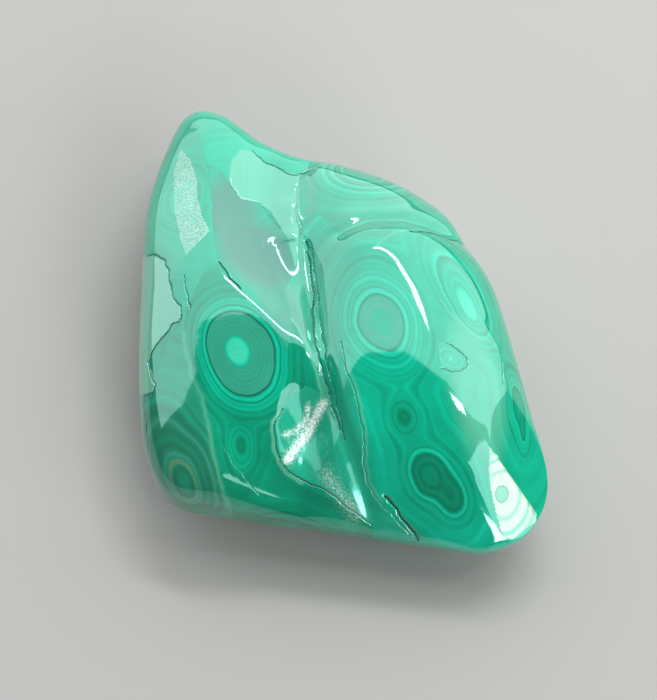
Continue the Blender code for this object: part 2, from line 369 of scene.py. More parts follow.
# Eyes: rings of growth round one centre. "drift" is how far the outermost ring's middle lies from the core.
eyes = {
    "left eye": {
        "seen": (238, 351), "sizes": (15.6, 11.0), "turn": 111, "drift": (1.0, -0.4), "style": "mint core",
        "zone": "left",
    },
    "small eye": {"seen": (242, 447), "sizes": (5.0, 2.8), "turn": 95, "style": "dark core", "zone": "left"},
    "bottom swell": {"seen": (287, 534), "sizes": (8.0, 4.6), "turn": 172, "zone": "left"},
    "right eye": {
        "seen": (382, 323), "sizes": (13.2, 9.4), "turn": 108, "style": "grey core", "zone": "right",
    },
    "flank eye": {
        "seen": (468, 308), "sizes": (13.0, 6.0), "turn": 124, "drift": (-0.8, 3.8), "style": "bright core",
        "zone": "right",
    },
    "middle spot": {
        "seen": (406, 419), "sizes": (5.2, 3.4), "turn": 100, "style": "dark core", "zone": "right",
    },
    "dark eye": {
        "seen": (430, 476), "sizes": (6.8, 5.2), "turn": 106,
        "more": [{"seen": (453, 495), "sizes": (7.6, 4.2), "turn": 106}],
        "style": "deep core", "zone": "right",
    },
    # painted highlight: the tip eye's rings are coloured cream and pale, the facet's shine painted in
    "tip eye": {
        "seen": (504, 495), "sizes": (13.0, 9.0), "turn": 95, "style": "ringed core with painted highlight", "zone": "tip facet",
    },
    "edge eye": {
        "seen": (518, 404), "sizes": (6.4, 2.6), "turn": 97,
        "more": [{"seen": (521, 431), "sizes": (4.4, 1.5), "turn": 92}],
        "style": "outlined core", "zone": "right",
    },
    "island": {
        "seen": (451, 357), "sizes": (3.6, 2.4), "turn": 155, "style": "bright core", "zone": "island",
    },
    "corner whorl": {
        "seen": (186, 484), "sizes": (17.0, 8.6), "turn": 108, "drift": (-1.5, 1.5), "style": "whorl",
        "zone": "corner",
    },
    "lobe eye": {
        "seen": (362, 172), "sizes": (12.5, 9.6), "turn": 20, "drift": (1.5, 0.5), "style": "lobe",
        "zone": "upper lobe",
    },
    "faint eye": {
        "seen": (184, 197), "sizes": (8.2, 5.2), "turn": 96, "style": "faint", "zone": "apex face",
    },
    "hollow grain": {"seen": (120, 330), "sizes": (20, 10), "turn": 120, "zone": "hollow"},
    "rim grain": {"seen": (265, 270), "sizes": (16, 18), "turn": 10, "zone": "apex rim"},
    "patch grain": {"seen": (100, 320), "sizes": (30, 8), "turn": 92, "zone": "left patch"},
    "pale grain": {"seen": (330, 200), "sizes": (20, 8), "turn": 95, "zone": "pale patch"},
    "strip grain": {"seen": (270, 420), "sizes": (30, 6), "turn": 110, "zone": "strip"},
    "frost eye": {
        "seen": (184, 197), "sizes": (8.2, 5.2), "turn": 96, "style": "faint", "zone": "frosted patch with painted sparkle",
    },
    "dent grain": {"seen": (262, 455), "sizes": (12, 5), "turn": 110, "zone": "dent"},
}

# Zones of the crown, parted by old fractures. Each has bands of its own: how strong, light, pale, grey and
# frosted they are; strong frost is also painted with white specks, a painted sparkle. An earlier zone lies
# over a later one.
zones = {
    "island": {
        "seen": [
            (438, 348), (440, 341), (447, 343), (458, 350), (466, 358), (467, 366), (461, 371), (452, 372),
            (441, 368),
        ],
        "bands": 0.5, "pale": 0.2,
    },
    # painted highlight: the tip facet is made pale and its rings cream where it would shine; the rings
    # themselves are the stone's own
    "tip facet": {
        "seen": [
            (489, 446), (497, 455), (513, 480), (537, 514), (534, 528), (512, 540), (503, 538), (496, 515),
            (489, 480),
        ],
        "bands": 0.4, "pale": 0.3,
    },
    # painted reflection: this rough patch is made pale and white-specked where it would glitter
    "frosted patch with painted sparkle": {
        "seen": [
            (181, 148), (191, 161), (197, 178), (198, 198), (201, 213), (210, 231), (186, 255), (182, 245),
            (176, 221), (173, 193), (174, 170),
        ],
        "bands": 0.5, "pale": 0.45, "grey": 0.1, "frostAndSparkle": 1.0,
    },
    "left patch": {
        "seen": [
            (100, 250), (147, 256), (164, 259), (167, 270), (170, 285), (174, 297), (181, 308), (181, 323),
            (173, 324), (160, 341), (151, 353), (150, 366), (156, 384), (152, 393), (100, 398),
        ],
        "bands": 0.25, "pale": 0.7, "grey": 0.25,
    },
    "corner": {
        "seen": [
            (184, 320), (187, 350), (192, 375), (200, 393), (206, 413), (211, 440), (217, 472), (223, 494),
            (231, 512), (236, 570), (100, 570), (100, 398), (152, 393), (156, 376), (166, 345),
        ],
        "bands": 1.1, "grey": 0.15, "tone": -0.1,
    },
    "dent": {
        "seen": [
            (283, 409), (276, 421), (274, 432), (277, 448), (284, 467), (293, 474), (305, 480), (319, 487),
            (331, 494), (345, 504), (372, 524), (392, 570), (425, 570), (401, 526), (378, 501), (368, 486),
            (363, 464), (364, 438), (360, 412), (353, 386), (346, 369), (341, 343), (334, 409), (342, 436),
            (331, 412), (322, 394), (306, 386), (290, 396),
        ],
        "bands": 0.45, "grey": 0.15, "frostAndSparkle": 0.3, "tone": 0.06,
    },
    "strip": {
        "seen": [
            (285, 290), (292, 318), (302, 335), (311, 358), (316, 373), (321, 393), (327, 411), (334, 426),
            (342, 436), (334, 409), (325, 380), (316, 346), (311, 321), (307, 260), (302, 225), (300, 215),
            (296, 268),
        ],
        "bands": 0.4, "pale": 0.1, "grey": 0.2,
    },
    "pale patch": {
        "seen": [
            (229, 178), (233, 188), (241, 199), (258, 202), (272, 212), (288, 240), (296, 268), (300, 215),
            (300, 174), (285, 173), (275, 166), (267, 163), (259, 157), (253, 151), (240, 150), (232, 160),
        ],
        "bands": 0.25, "pale": 0.5,
    },
    "upper lobe": {
        "seen": [
            (300, 172), (313, 165), (335, 110), (420, 100), (520, 200), (470, 243), (458, 238), (443, 231),
            (430, 227), (412, 224), (389, 225), (374, 228), (350, 233), (335, 226), (318, 214), (302, 214),
        ],
        "bands": 0.9, "pale": 0.1, "grey": 0.05,
    },
    "apex rim": {
        "seen": [
            (190, 60), (350, 60), (313, 168), (300, 174), (285, 173), (275, 166), (267, 163), (253, 151),
            (240, 150), (229, 178), (219, 168), (208, 165), (206, 160), (197, 118),
        ],
        "bands": 0.35, "pale": 0.12, "frostAndSparkle": 0.25, "tone": 0.08,
    },
    "apex face": {
        "seen": [
            (100, 60), (190, 60), (197, 118), (206, 160), (212, 205), (213, 245), (219, 262), (203, 274),
            (190, 300), (184, 322), (181, 308), (174, 297), (168, 280), (164, 259), (147, 256), (100, 250),
        ],
        "bands": 0.5, "pale": 0.15, "grey": 0.05, "frostAndSparkle": 0.22,
    },
    "hollow": {
        "seen": [
            (219, 168), (229, 178), (241, 199), (258, 202), (288, 240), (296, 268), (285, 290), (292, 318),
            (288, 350), (270, 326), (250, 300), (236, 284), (219, 262), (213, 245), (212, 205), (208, 165),
        ],
        "bands": 0.45, "pale": 0.05, "grey": 0.15, "frostAndSparkle": 0.2,
    },
}

# Soft places inside a zone, greyer, paler, lighter or darker than around them; the flank's and the lower
# right's are painted light.
cloudsAndPaintedLight = {
    "apex face": {
        "seen": (165, 235), "sizes": (17.0, 8.0), "turn": 82, "pale": 0.3, "zones": ("apex face",),
    },
    "hollow top": {"seen": (232, 216), "sizes": (10.0, 7.0), "turn": 105, "grey": 0.8, "zones": ("hollow",)},
    "hollow middle": {
        "seen": (256, 252), "sizes": (12.0, 9.0), "turn": 120, "grey": 0.85, "zones": ("hollow",),
    },
    "hollow foot": {
        "seen": (282, 308), "sizes": (11.0, 5.0), "turn": 116, "grey": 0.5, "zones": ("hollow", "strip"),
    },
    # painted reflection: the right flank paler, as if it mirrored the far window
    "flank": {"seen": (477, 385), "sizes": (17.0, 6.0), "turn": 98, "pale": 0.4, "zones": ("right",)},
    # painted light: the lower right lighter, as if lit more strongly
    "painted light lower right": {"seen": (478, 545), "sizes": (15.0, 5.0), "turn": 15, "tone": 0.22, "zones": ("right",)},
    "valley side": {
        "seen": (372, 440), "sizes": (20.0, 4.0), "turn": 105, "tone": 0.12, "zones": ("right",),
    },
    "left foot": {"seen": (262, 505), "sizes": (14.0, 6.0), "turn": 160, "tone": -0.1, "zones": ("left",)},
}

# What is in none of the zones, to the left and right of the valley.
openZones = {
    "left": {"bands": 0.9, "tone": -0.2},
    "right": {"bands": 1.1, "tone": 0.03},
}
valleySeen = [
    (300, 60), (300, 172), (301, 215), (307, 260), (313, 321), (325, 378), (341, 436), (372, 524),
    (392, 600),
]

# Growth centres deep in the stone, for the bands of the sides and the back, in mm.
deepCentres = [
    {"at": (-26, 30, 2), "size": 7},
    {"at": (-30, -12, -1), "size": 9},
    {"at": (-4, -28, 1), "size": 8},
    {"at": (2, 12, -2), "size": 10},
    {"at": (26, -2, 1), "size": 7},
    {"at": (30, -34, -1), "size": 9},
    {"at": (-43, 4, 6), "size": 5},
    {"at": (40, -14, 5), "size": 5},
    {"at": (8, -49, 2), "size": 5},
    {"at": (16, 31, 5), "size": 5},
]

# How growth centres meet: mm for the first two, and shares of an eye for the others.
growing = {
    "deepSetback": 6, "rounding": 1.6,
    "secondCore": 0.42, "coreRounding": 0.2, "softAreaEdge": (0.6, 1.3),
}

# Fractures: hairline cracks cut into the surface. Widths and depths in mm.
cracks = {
    "valley left": {
        "seen": [
            (306, 241), (310, 260), (312, 275), (314, 297), (313, 320), (316, 346), (325, 379), (334, 409),
            (340, 430),
        ],
        "width": 0.15, "depth": 0.45, "dark": 0.5,
    },
    "valley right": {
        "seen": [
            (309, 240), (313, 256), (316, 283), (319, 300), (322, 334), (328, 366), (335, 396), (345, 440),
        ],
        "width": 0.13, "depth": 0.35, "dark": 0.45,
    },
    "valley top": {
        "seen": [(313, 170), (303, 174), (298, 190), (297, 214), (303, 236)],
        "width": 0.5, "depth": 0.4, "dark": 0.2,
    },
    "crest crack": {
        "seen": [(218, 261), (226, 271), (232, 279), (240, 289)],
        "width": 0.15, "depth": 0.4, "dark": 0.75,
    },
    "patch crack": {
        "seen": [
            (148, 256), (157, 255), (164, 259), (167, 269), (170, 284), (174, 297), (180, 306), (182, 316),
            (180, 323), (174, 323), (168, 330), (160, 341), (151, 353), (149, 363), (151, 376), (156, 384),
            (153, 393), (145, 397),
        ],
        "width": 0.14, "depth": 0.3, "dark": 0.6,
    },
    "side crack": {
        "seen": [(184, 275), (186, 288), (188, 298), (190, 310)],
        "width": 0.12, "depth": 0.2, "dark": 0.5,
    },
    "dent crack": {
        "seen": [
            (283, 409), (276, 421), (274, 430), (276, 443), (279, 456), (284, 467), (293, 474), (304, 480),
            (319, 487), (331, 494), (342, 503), (358, 514), (372, 524),
        ],
        "width": 0.14, "depth": 0.25, "dark": 0.65,
    },
    "right vein": {
        "seen": [
            (341, 343), (346, 369), (353, 386), (360, 412), (364, 438), (363, 464), (368, 486), (379, 501),
            (392, 514), (401, 526), (416, 540),
        ],
        "width": 0.12, "depth": 0.18, "dark": 0.3,
    },
    "open crack": {
        "seen": [(385, 495), (396, 507), (403, 517), (410, 528), (418, 538)],
        "width": 0.22, "depth": 0.8, "dark": 1.0,
    },
    "fold crack": {
        "seen": [(410, 231), (427, 232), (439, 234), (450, 239), (462, 243)],
        "width": 0.14, "depth": 0.35, "dark": 0.6,
    },
    "island crack": {
        "seen": [(447, 343), (458, 350), (466, 358), (467, 366), (461, 371), (452, 372), (441, 368)],
        "width": 0.12, "depth": 0.15, "dark": 0.55,
    },
    "pale patch crack": {
        "seen": [
            (253, 151), (259, 157), (267, 163), (275, 166), (285, 173), (296, 176), (301, 173), (313, 170),
        ],
        "width": 0.14, "depth": 0.2, "dark": 0.55,
    },
    "pale patch edge": {
        "seen": [(229, 178), (233, 188), (241, 199), (250, 201), (258, 202)],
        "width": 0.13, "depth": 0.1, "dark": 0.5,
    },
    "flank cracks": {
        "seen": [(502, 363), (504, 374), (503, 384)],
        "width": 0.13, "depth": 0.12, "dark": 0.45,
    },
    "left edge crack": {
        "seen": [(145, 396), (146, 420), (148, 445), (150, 470)],
        "width": 0.14, "depth": 0.15, "dark": 0.5,
    },
    "scratch": {
        "seen": [(224, 449), (236, 465), (248, 481), (259, 496)],
        "width": 0.1, "depth": 0.06, "dark": 0.0,
    },
}

# Painted highlights in the dent: white streaks and specks painted where its rough walls would shine.
paintedHighlights = {
    "rising streak": {
        "seen": [(287, 460), (295, 449), (305, 437), (315, 419), (323, 404)],
        "width": 1.15, "paintedHighlight": 0.85,
    },
    "upper arc": {
        "seen": [(284, 435), (295, 432), (303, 425), (308, 415), (308, 406)],
        "width": 0.6, "paintedHighlight": 0.75,
    },
    "lower specks": {"seen": [(326, 474), (336, 488), (347, 502), (356, 514)], "width": 1.8, "paintedHighlight": 0.36},
}

# Thin pale veins, only colour.
veins = {
    "left rib vein": {
        "seen": [
            (184, 332), (186, 350), (191, 373), (200, 393), (206, 413), (210, 433), (213, 454), (218, 476),
            (223, 494), (230, 508),
        ],
        "width": 0.4, "pale": 0.4,
    },
    "strip vein": {
        "seen": [(292, 318), (302, 335), (311, 358), (316, 373), (321, 393), (327, 411), (334, 426)],
        "width": 0.22, "pale": 0.6,
    },
    "right vein edge": {
        "seen": [
            (344, 343), (349, 369), (356, 386), (363, 412), (367, 438), (366, 464), (371, 486), (382, 501),
        ],
        "width": 0.28, "pale": 0.4,
    },
    "dent crack edge": {
        "seen": [
            (281, 411), (273, 422), (271, 431), (273, 444), (276, 457), (281, 469), (291, 477), (303, 483),
        ],
        "width": 0.26, "pale": 0.75,
    },
    "fold edge": {
        "seen": [(376, 247), (386, 237), (397, 232), (412, 229), (428, 230), (444, 233), (462, 240)],
        "width": 0.22, "pale": 0.35,
    },
    "flank eye edge": {
        "seen": [(441, 300), (447, 309), (459, 322), (474, 334), (490, 342), (499, 350)],
        "width": 0.26, "pale": 0.4,
    },
}


def soften(values, low, high):
    share = np.clip((values - low) / (high - low), 0, 1)
    return share * share * (3 - 2 * share)


def insidePolygon(corners, x, y):
    inside = np.zeros(len(x), bool)
    for (fromX, fromY), (toX, toY) in zip(corners, corners[1:] + corners[:1]):
        if fromY != toY:
            crossing = fromX + (y - fromY) / (toY - fromY) * (toX - fromX)
            inside ^= ((fromY > y) != (toY > y)) & (x < crossing)
    return inside


def waver(points, span, reach, seed):
    # moves points by smooth noise, so that nothing drawn with them is a perfect oval or a straight line
    shifts = [noise.noise_vector(Vector(p) / span + Vector((seed, seed * 2, seed * 3))) for p in points]
    return points + np.array(shifts) * reach


# How far lines and bands wander: span and reach in mm, and a seed.
wander = {
    "bands": (13.0, 1.1, 3.0),
    "fine bands": (4.5, 0.22, 11.0),
    "zones": (3.0, 0.25, 7.0),
    "lines": (2.2, 0.34, 5.0),
    "fine lines": (0.7, 0.12, 9.0),
}


def planPath(pixels):
    return [tuple(placeSeen(pixel)[:2]) for pixel in pixels]


for eye in eyes.values():
    for centre in [eye, *eye.get("more", [])]:
        centre["at"] = placeSeen(centre["seen"])
for softArea in cloudsAndPaintedLight.values():
    softArea["at"] = placeSeen(softArea["seen"])
for shape in [*zones.values(), *cracks.values(), *paintedHighlights.values(), *veins.values()]:
    shape["path"] = planPath(shape["seen"])
valleyPath = np.array(planPath(valleySeen))
print("marks placed")


def zoneOf(x, y):
    # index of each point's zone: the named ones first, then the open ones to the left and right of the valley
    names = [*zones, *openZones]
    valleyX = np.interp(-y, -valleyPath[:, 1], valleyPath[:, 0])
    found = np.where(x < valleyX, names.index("left"), names.index("right"))
    for index in range(len(zones) - 1, -1, -1):
        found[insidePolygon(zones[names[index]]["path"], x, y)] = index
    return names, found


def centreShare(centre, points, drift=(0, 0)):
    size = (centre["sizes"][0] + centre["sizes"][1]) / 2
    height = (points[:, 2] - centre["at"][2]) / size
    share = np.hypot(ovalShare(*points[:, :2].T, centre["at"][:2], centre["sizes"], centre["turn"]), height)
    if any(drift):
        middle = [centre["at"][axis] + drift[axis] * np.clip(share, 0, 1.5) for axis in range(2)]
        share = np.hypot(ovalShare(*points[:, :2].T, middle, centre["sizes"], centre["turn"]), height)
    return share


def softMost(share, least):
    return np.sqrt(share**2 + least**2)


def eyeShare(eye, points):
    # 0 in an eye's core and 1 at its outermost ring, which runs round all its centres
    share = centreShare(eye, points, eye.get("drift", (0, 0)))
    for centre in eye.get("more", []):
        second = softMost(centreShare(centre, points), growing["secondCore"])
        share = softLeast([share, second], growing["coreRounding"])
    return share


styles = [*dict.fromkeys(eye["style"] for eye in eyes.values() if "style" in eye)]


def growthPattern(points):
    # Distance grown outwards from the nearest centres, and each eye's own rings, for each point in mm.
    places = waver(waver(points, *wander["bands"]), *wander["fine bands"])
    names, found = zoneOf(*waver(points, *wander["zones"])[:, :2].T)
    growth = np.zeros(len(points))
    ring = np.full(len(points), 2.0)
    marks = {style: np.zeros(len(points)) for style in styles}
    deep = []
    for centre in deepCentres:
        deep.append(np.linalg.norm(places - np.array(centre["at"]), axis=1) - centre["size"])
    for index, name in enumerate(names):
        here = found == index
        if not here.any():
            continue
        distances, shares, members = [], [], []
        for eye in eyes.values():
            if eye["zone"] != name:
                continue
            share = eyeShare(eye, places[here])
            distances.append((share - 1) * (eye["sizes"][0] + eye["sizes"][1]) / 2)
            shares.append(share)
            members.append(eye)
        nearest = np.argmin(distances, axis=0)
        distances += [distance[here] + growing["deepSetback"] for distance in deep]
        growth[here] = softLeast(distances, growing["rounding"])
        ring[here] = np.array(shares)[nearest, np.arange(here.sum())]
        for place, eye in enumerate(members):
            if "style" in eye:
                mark = marks[eye["style"]]
                mark[here] = np.maximum(mark[here], nearest == place)
    shades = {}
    for key in ("bands", "tone", "pale", "grey", "frostAndSparkle"):
        values = np.array([(zones | openZones)[name].get(key, 0) for name in names])
        shades[key] = values[found]
    # soft areas added to the zones' shades, the painted light of the flank and the lower right among them
    for softArea in cloudsAndPaintedLight.values():
        cloudy = np.isin(found, [names.index(name) for name in softArea["zones"]])
        share = (1 - soften(centreShare(softArea, places), *growing["softAreaEdge"])) * cloudy
        for key in ("tone", "pale", "grey"):
            added = softArea.get(key, 0) * share
            shades[key] = shades[key] + added if key == "tone" else np.maximum(shades[key], added)
    return growth, ring, marks, shades


def refine(mesh, near):
    # cuts the faces at the marked points in four
    mesh.verts.ensure_lookup_table()
    mesh.verts.index_update()
    chosen = {face for face in mesh.faces if any(near[v.index] for v in face.verts)}
    edges = [edge for edge in mesh.edges if any(face in chosen for face in edge.link_faces)]
    bmesh.ops.subdivide_edges(mesh, edges=edges, cuts=1, use_grid_fill=True)
    for vertex in mesh.verts:
        vertex.co.normalize()
    print("refined to", len(mesh.faces), "faces")


def onCrown(directions):
    return directions[:, 2] + form["crownShare"] * (1 - directions[:, 2] ** 2) > 0.02


def lineShare(line, points):
    # 1 on a line, fading out over its width
    return np.exp(-((distanceToPath(line["path"], points[:, 0], points[:, 1]) / line["width"]) ** 2))


# The faint waves that polishing leaves and the dent's roughness: spans and heights in mm.
waves = {"broad": (7.5, 0.025), "fine": (2.8, 0.006), "inDent": 0.11, "crackReach": 1.6}


def carve(points, crown):
    # cuts the cracks and adds the waves, on the crown only
    spans = waves["broad"][0], waves["fine"][0]
    broad, fine = (np.array([noise.noise(Vector(p) / span) for p in points[crown]]) for span in spans)
    dent = hollows["dent"]
    inDent = np.exp(-(ovalShare(*points[crown, :2].T, dent["at"], dent["sizes"], dent["turn"]) ** 2))
    fineHeight = waves["fine"][1] + waves["inDent"] * inDent
    points[crown, 2] += broad * waves["broad"][1] + fine * fineHeight
    nearest = np.min([distanceToPath(c["path"], points[:, 0], points[:, 1]) for c in cracks.values()], axis=0)
    near = crown & (nearest < waves["crackReach"])
    places = waver(waver(points[near], *wander["lines"]), *wander["fine lines"])
    depths = [crack["depth"] * lineShare(crack, places) for crack in cracks.values()]
    points[near, 2] -= np.max(depths, axis=0)
    return points, near, places


def carvedSurface(directions, fit):
    points = stoneSurface(directions) * fit[0] + fit[1]
    return carve(points, onCrown(directions))


def surfaceNormals(directions, points, fit):
    # from two steps of a tenth of a millimetre along the surface
    aside = np.where(np.abs(directions[:, 2:]) < 0.7, [[0, 0, 1]], [[1, 0, 0]])
    first = np.cross(aside, directions)
    first /= np.linalg.norm(first, axis=1)[:, None]
    steps = []
    for way in (first, np.cross(directions, first)):
        moved = directions + way * 0.002
        moved /= np.linalg.norm(moved, axis=1)[:, None]
        steps.append(carvedSurface(moved, fit)[0] - points)
    normals = np.cross(*steps)
    return normals / np.maximum(np.linalg.norm(normals, axis=1), 1e-9)[:, None]


def makeStone():
    mesh = evenSphere()
    directions = np.array([v.co for v in mesh.verts])
    fit = fitOf(stoneSurface(directions))
    edges = [{"path": [*zone["path"], zone["path"][0]]} for zone in zones.values()]
    edges.append({"path": valleyPath})
    fine = [*cracks.values(), *edges, *veins.values()]
    for reach, lines in ((0.75, fine), (0.32, fine), (0.18, cracks.values())):
        directions = np.array([v.co for v in mesh.verts])
        points = stoneSurface(directions) * fit[0] + fit[1]
        nearest = np.min([distanceToPath(line["path"], points[:, 0], points[:, 1]) for line in lines], axis=0)
        refine(mesh, (nearest < reach) & onCrown(directions))
    directions = np.array([v.co for v in mesh.verts])
    crown = onCrown(directions)
    points, near, places = carvedSurface(directions, fit)
    normals = surfaceNormals(directions, points, fit)
    growth, ring, marks, shades = growthPattern(stoneSurface(directions) * fit[0] + fit[1])

    crackMark, veinMark, paintedHighlight = np.zeros((3, len(points)))
    crackMark[near] = np.max([crack["dark"] * lineShare(crack, places) for crack in cracks.values()], axis=0)
    wavered = waver(points, *wander["lines"])
    for vein in veins.values():
        veinMark = np.maximum(veinMark, vein["pale"] * lineShare(vein, wavered) * crown)
    # painted highlight: white streaks in the dent, kept as an attribute
    for paintedStreak in paintedHighlights.values():
        paintedHighlight = np.maximum(paintedHighlight, paintedStreak["paintedHighlight"] * lineShare(paintedStreak, wavered) * crown)

    data = bpy.data.meshes.new("malachiteStone")
    mesh.to_mesh(data)
    mesh.free()
    data.vertices.foreach_set("co", (points * mm).astype(np.float32).ravel())
    attributes = {"growth": growth, "ring": ring, "crack": crackMark, "vein": veinMark, "paintedHighlight": paintedHighlight}
    attributes |= shades | {style.replace(" ", "_"): mark for style, mark in marks.items()}
    for name, values in attributes.items():
        data.attributes.new(name, "FLOAT", "POINT").data.foreach_set("value", values.astype(np.float32))
    data.update()
    data.shade_smooth()
    data.normals_split_custom_set_from_vertices(normals.tolist())
    stone = bpy.data.objects.new("malachiteStone", data)
    scene.collection.objects.link(stone)
    print("stone has", sum(len(p.vertices) - 2 for p in data.polygons), "triangles")
    return stone


# material

def shade(red, green, blue):
    # a colour given as it is seen on screen, 0 to 255
    parts = [c / 255 for c in (red, green, blue)]
    return (*(c / 12.92 if c <= 0.04045 else ((c + 0.055) / 1.055) ** 2.4 for c in parts), 1)


colours = {
    "black green": (0, 84, 62),
    "deep": (0, 116, 84),
    "dark": (0, 136, 102),
    "rich": (0, 155, 120),
    "bright": (0, 170, 136),
    "light": (14, 184, 150),
    "mint": (58, 196, 162),
    "pale": (124, 190, 164),
    "grey green": (56, 148, 122),
    "crack": (34, 56, 46),
    "vein": (104, 184, 150),
    "beige": (86, 142, 106),
    "haze": (84, 114, 105),
    "moss": (32, 152, 122),
    # painted highlight: cream for the tip facet's rings
    "painted highlight cream": (222, 232, 206),
    # painted sparkle: white specks of the frosted patch
    "frostAndSparkle": (230, 228, 230),
    # painted highlight: white of the dent's streaks
    "paintedStreak": (240, 252, 248),
}

bandTones = [(0.0, "deep"), (0.22, "dark"), (0.45, "rich"), (0.66, "bright"), (0.86, "light"), (1.0, "mint")]

# Each eye's rings, from its core at 0 to its outermost ring at 1.
ringTones = {
    "mint core": [
        (0.0, "mint"), (0.17, "mint"), (0.215, "light"), (0.25, "moss"), (0.28, "grey green"),
        (0.31, "moss"), (0.34, "grey green"), (0.37, "moss"), (0.41, "grey green"), (0.44, "moss"),
        (0.48, "grey green"), (0.51, "moss"), (0.55, "grey green"), (0.58, "moss"), (0.61, "grey green"),
        (0.635, "black green"), (0.655, "rich"), (0.685, "light"), (0.71, "bright"), (0.73, "deep"),
        (0.75, "bright"), (0.79, "rich"), (0.83, "bright"), (0.86, "dark"), (0.92, "rich"), (0.96, "deep"),
        (1.0, "dark"),
    ],
    "grey core": [
        (0.0, "rich"), (0.2, "rich"), (0.3, "grey green"), (0.42, "moss"), (0.47, "deep"), (0.505, "light"),
        (0.55, "light"), (0.58, "bright"), (0.605, "dark"), (0.63, "bright"), (0.69, "rich"),
        (0.72, "bright"), (0.77, "light"), (0.8, "rich"), (0.86, "bright"), (0.92, "rich"), (0.96, "light"),
        (1.0, "bright"),
    ],
    "bright core": [
        (0.0, "rich"), (0.07, "mint"), (0.13, "light"), (0.17, "mint"), (0.27, "light"), (0.32, "rich"),
        (0.4, "bright"), (0.48, "rich"), (0.53, "bright"), (0.62, "rich"), (0.7, "dark"), (0.74, "light"),
        (0.82, "bright"), (0.9, "rich"), (1.0, "bright"),
    ],
    "dark core": [
        (0.0, "dark"), (0.28, "deep"), (0.42, "dark"), (0.6, "rich"), (0.72, "dark"), (0.85, "rich"),
        (1.0, "rich"),
    ],
    "deep core": [
        (0.0, "rich"), (0.12, "dark"), (0.3, "dark"), (0.42, "deep"), (0.55, "dark"), (0.68, "deep"),
        (0.75, "dark"), (0.785, "bright"), (0.82, "light"), (0.87, "light"), (0.9, "rich"), (0.94, "dark"),
        (0.97, "rich"), (1.0, "bright"),
    ],
    # painted highlight: cream and pale rings standing in for the tip facet's shine
    "ringed core with painted highlight": [
        (0.0, "pale"), (0.13, "pale"), (0.16, "beige"), (0.19, "painted highlight cream"), (0.36, "painted highlight cream"), (0.44, "pale"),
        (0.5, "painted highlight cream"), (0.62, "painted highlight cream"), (0.68, "mint"), (0.74, "painted highlight cream"), (0.84, "pale"), (0.92, "painted highlight cream"),
        (1.0, "pale"),
    ],
    "outlined core": [
        (0.0, "rich"), (0.5, "dark"), (0.62, "deep"), (0.69, "light"), (0.76, "rich"), (0.88, "bright"),
        (1.0, "rich"),
    ],
    "whorl": [
        (0.0, "rich"), (0.15, "dark"), (0.22, "deep"), (0.265, "dark"), (0.29, "beige"), (0.34, "beige"),
        (0.36, "dark"), (0.39, "rich"), (0.42, "grey green"), (0.45, "dark"), (0.51, "deep"), (0.6, "dark"),
        (0.68, "deep"), (0.76, "dark"), (0.8, "grey green"), (0.84, "dark"), (0.9, "deep"), (1.0, "dark"),
    ],
    "lobe": [
        (0.0, "rich"), (0.2, "grey green"), (0.33, "rich"), (0.38, "dark"), (0.42, "light"), (0.5, "dark"),
        (0.55, "rich"), (0.61, "deep"), (0.66, "light"), (0.75, "rich"), (0.8, "dark"), (0.87, "light"),
        (1.0, "rich"),
    ],
    "faint": [
        (0.0, "bright"), (0.5, "light"), (0.7, "rich"), (0.78, "grey green"), (0.85, "bright"),
        (1.0, "bright"),
    ],
}

stoneFinish = {
    "bandStrength": 0.9,
    "ringWander": 0.035,
    "lamina": {"span": 0.32, "strength": 0.22},  # the finest layers
    "mottle": {"span": 5.0, "strength": 0.3},
    "roughness": 0.055,
    "smudge": 0.05,
    "refraction": 1.85,
    "sheen": (150, 246, 240),
    "wax": 1.0,
    "waxRoughness": 0.03,
    "frostRoughness": 0.3,
}


def addNode(tree, kind, settings=None, **inputs):
    node = tree.nodes.new(kind)
    for name, value in (settings or {}).items():
        setattr(node, name, value)
    for name, value in inputs.items():
        socket = node.inputs[int(name[1:])] if name[1:].isdigit() else node.inputs[name]
        if isinstance(value, bpy.types.NodeSocket):
            tree.links.new(value, socket)
        else:
            socket.default_value = value
    return node


def calculate(tree, operation, first, second=0.0, third=0.0, clamp=False):
    settings = {"operation": operation, "use_clamp": clamp}
    return addNode(tree, "ShaderNodeMath", settings, _0=first, _1=second, _2=third).outputs[0]


def attribute(tree, name):
    return addNode(tree, "ShaderNodeAttribute", {"attribute_name": name}).outputs["Fac"]


def ramp(tree, share, tones):
    node = addNode(tree, "ShaderNodeValToRGB", None, Fac=share)
    stops = node.color_ramp.elements
    while len(stops) < len(tones):
        stops.new(0.5)
    for stop, (place, name) in zip(stops, tones):
        stop.position = place
    for stop, (place, name) in zip(stops, tones):
        stop.color = shade(*colours[name])
    return node.outputs["Color"]


def blend(tree, share, first, second, way="MIX"):
    settings = {"data_type": "RGBA", "blend_type": way}
    return addNode(tree, "ShaderNodeMix", settings, _0=share, _6=first, _7=second).outputs[2]


def bandNoise(tree, along, span, detail, seed):
    # bands of uneven width: noise that changes only along the growth
    place = calculate(tree, "MULTIPLY_ADD", along, 1 / span, seed)
    inputs = {"W": place, "Scale": 1.0, "Detail": detail, "Roughness": 0.6}
    return addNode(tree, "ShaderNodeTexNoise", {"noise_dimensions": "1D"}, **inputs).outputs["Fac"]


def spaceNoise(tree, places, span, detail, roughness=0.5):
    inputs = {"Vector": places, "Scale": 1 / span, "Detail": detail, "Roughness": roughness}
    return addNode(tree, "ShaderNodeTexNoise", None, **inputs).outputs["Fac"]


